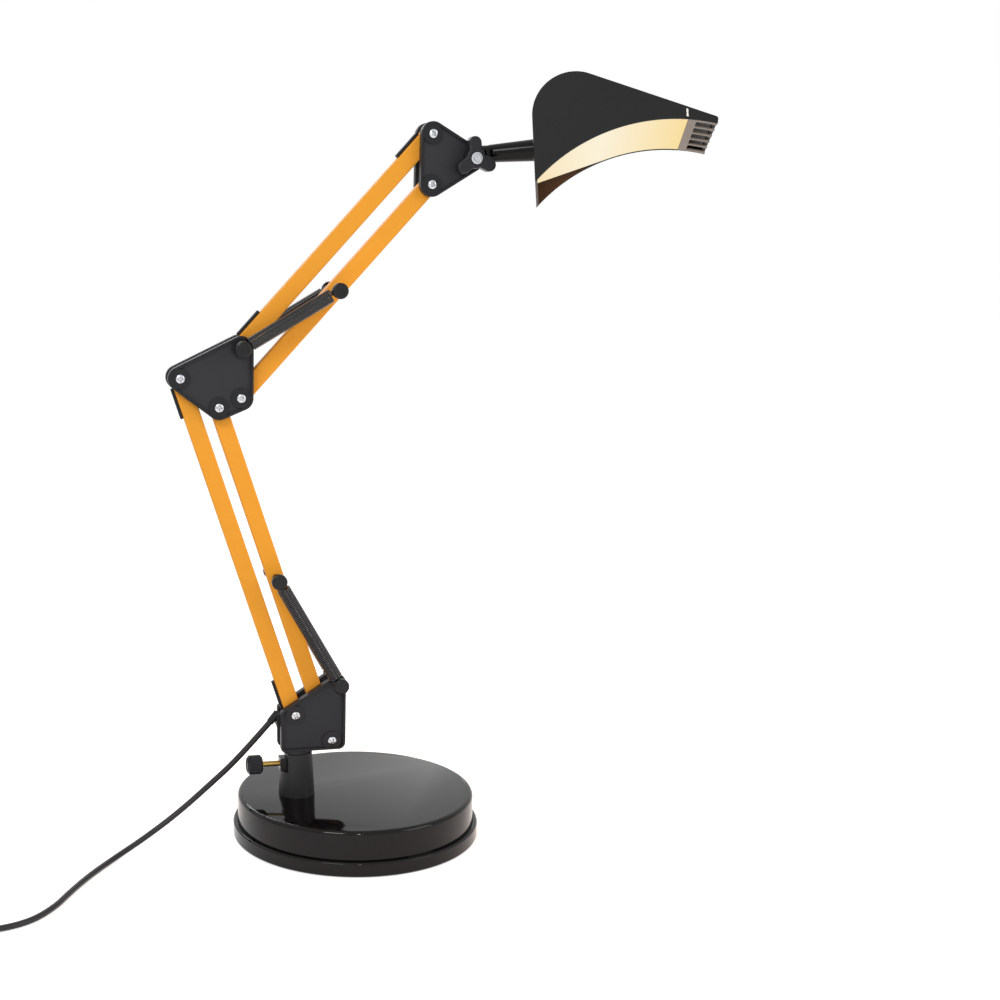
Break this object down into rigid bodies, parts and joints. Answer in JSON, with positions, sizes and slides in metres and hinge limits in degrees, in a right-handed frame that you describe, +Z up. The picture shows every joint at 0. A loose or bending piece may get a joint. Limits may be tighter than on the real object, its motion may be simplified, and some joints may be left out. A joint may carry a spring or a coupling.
{
  "type": "articulated desk lamp",
  "caption": "Desk lamp on a weighted round base, with sprung parallelogram arms of flat bar, swivel post, tilting wedge-shaped light hood with slotted tip, and a coiled mains cord.",
  "frame": {"origin": "centre of the round base, on its underside where it stands on the desk", "axes": "+Z up; the arms fold in the XZ plane with the hood towards +X at rest; +Y to the far side of the picture"},
  "size_m": [0.6001, 0.2217, 0.5422],
  "materials": {
    "base_paint": "gloss",
    "ballast": "matte",
    "plate_steel": "satin",
    "pad": "matte",
    "bracket": "satin",
    "fastener": "satin",
    "arm_paint": "satin",
    "bush": "satin",
    "lead": "matte",
    "spring_paint": "satin",
    "pin_paint": "satin",
    "brass": "satin",
    "knob": "satin",
    "stem": "gloss",
    "hood": "matte",
    "diffuser": "satin",
    "board": "matte",
    "trim": "satin",
    "grille": "matte",
    "cord": "satin",
    "plug": "satin",
    "plug_pin": "satin"
  },
  "bodies": {
    "base": {"base_ring": "base_paint", "base_cover": "base_paint", "base_weight": "ballast", "base_plate": "plate_steel", "base_plate_screws": "fastener", "base_pad": "pad", "post_socket": "base_paint", "socket_nut": "fastener", "clamp_nut": "pin_paint", "cord_run": "cord", "cord_coil": "cord", "cord_tie": "plug", "plug_body": "plug", "plug_pins": "plug_pin"},
    "clamp_screw": {"clamp_knob": "knob", "clamp_stud": "brass"},
    "post": {"post_spigot": "base_paint", "base_bracket_near": "bracket", "base_bracket_far": "bracket", "base_bolts": "fastener", "base_nuts": "fastener", "base_spring_studs": "pin_paint", "cord_relief": "plug"},
    "lower_front": {"lower_front_bar": "arm_paint", "lower_front_bushes": "bush", "lower_spring_pin": "pin_paint", "lower_springs": "spring_paint"},
    "lower_rear": {"lower_rear_bar": "arm_paint", "lower_rear_bushes": "bush", "lower_lead_tails": "lead"},
    "elbow": {"elbow_plate_near": "bracket", "elbow_plate_far": "bracket", "elbow_bolts": "fastener", "elbow_nuts": "fastener", "elbow_spring_pin": "pin_paint"},
    "upper_front": {"upper_front_bar": "arm_paint", "upper_front_bushes": "bush", "upper_spring_pin": "pin_paint", "upper_springs": "spring_paint"},
    "upper_rear": {"upper_rear_bar": "arm_paint", "upper_rear_bushes": "bush", "upper_lead_tails": "lead"},
    "head_bracket": {"head_plate_near": "bracket", "head_plate_far": "bracket", "head_bolts": "fastener", "head_nuts": "fastener"},
    "tilt_screw": {"tilt_knob": "knob", "tilt_bolt": "fastener"},
    "knuckle": {"knuckle": "stem"},
    "stem": {"head_stem": "stem", "pan_pin": "fastener", "stem_nut": "fastener"},
    "head": {"shade": "hood", "diffuser": "diffuser", "led_board": "board", "tip_cap": "hood", "tip_trim": "trim", "tip_grille": "grille", "switch_body": "plug"},
    "power_button": {"power_button": "knob"}
  },
  "joints": [
    {"name": "base_swivel", "type": "hinge", "parent": "base", "child": "post", "pos_m": [-0.0439, 0, 0.0637], "axis": [0, 0, 1], "range_deg": [-135, 135], "deforming": ["cord_run"]},
    {"name": "clamp_screw_turn", "type": "hinge", "parent": "base", "child": "clamp_screw", "pos_m": [-0.0753, 0, 0.0552], "axis": [-1, 0, 0], "range_deg": [0, 360]},
    {"name": "lower_arm", "type": "hinge", "parent": "post", "child": "lower_front", "pos_m": [-0.0194, 0, 0.073], "axis": [0, 1, 0], "range_deg": [-10, 40], "deforming": ["lower_springs"]},
    {"name": "lower_rear_pivot", "type": "hinge", "parent": "post", "child": "lower_rear", "pos_m": [-0.046, 0, 0.0934], "axis": [0, 1, 0], "range_deg": [-10, 40]},
    {"name": "elbow_level", "type": "hinge", "parent": "lower_front", "child": "elbow", "pos_m": [-0.09866, 0, 0.31695], "axis": [0, 1, 0], "range_deg": [-40, 10]},
    {"name": "upper_arm", "type": "hinge", "parent": "elbow", "child": "upper_front", "pos_m": [-0.08326, 0, 0.32325], "axis": [0, 1, 0], "range_deg": [-20, 70], "deforming": ["upper_springs"]},
    {"name": "upper_rear_pivot", "type": "hinge", "parent": "elbow", "child": "upper_rear", "pos_m": [-0.08276, 0, 0.35765], "axis": [0, 1, 0], "range_deg": [-20, 70]},
    {"name": "head_level", "type": "hinge", "parent": "upper_front", "child": "head_bracket", "pos_m": [0.05135, 0, 0.46913], "axis": [0, 1, 0], "range_deg": [-70, 20]},
    {"name": "tilt_screw_turn", "type": "hinge", "parent": "head_bracket", "child": "tilt_screw", "pos_m": [0.08, -0.015, 0.4867], "axis": [0, -1, 0], "range_deg": [0, 360]},
    {"name": "head_tilt", "type": "hinge", "parent": "head_bracket", "child": "knuckle", "pos_m": [0.08, 0, 0.4867], "axis": [0, 1, 0], "range_deg": [-40, 60]},
    {"name": "head_pan", "type": "hinge", "parent": "knuckle", "child": "stem", "pos_m": [0.09373, 0, 0.49099], "axis": [-0.0715, 0, 0.9974], "range_deg": [-16, 53]},
    {"name": "head_roll", "type": "hinge", "parent": "stem", "child": "head", "pos_m": [0.12413, -0.01038, 0.49317], "axis": [0.9442, -0.3223, 0.0677], "range_deg": [-64, 86]},
    {"name": "button_press", "type": "slide", "parent": "head", "child": "power_button", "axis": [-0.3663, -0.0363, -0.9298], "range_m": [0, 0.0012], "stiffness_N_per_m": 400}
  ],
  "couplings": [
    {"joint": "lower_rear_pivot", "follows": "lower_arm", "ratio": 1},
    {"joint": "elbow_level", "follows": "lower_arm", "ratio": -1},
    {"joint": "upper_rear_pivot", "follows": "upper_arm", "ratio": 1},
    {"joint": "head_level", "follows": "upper_arm", "ratio": -1}
  ]
}
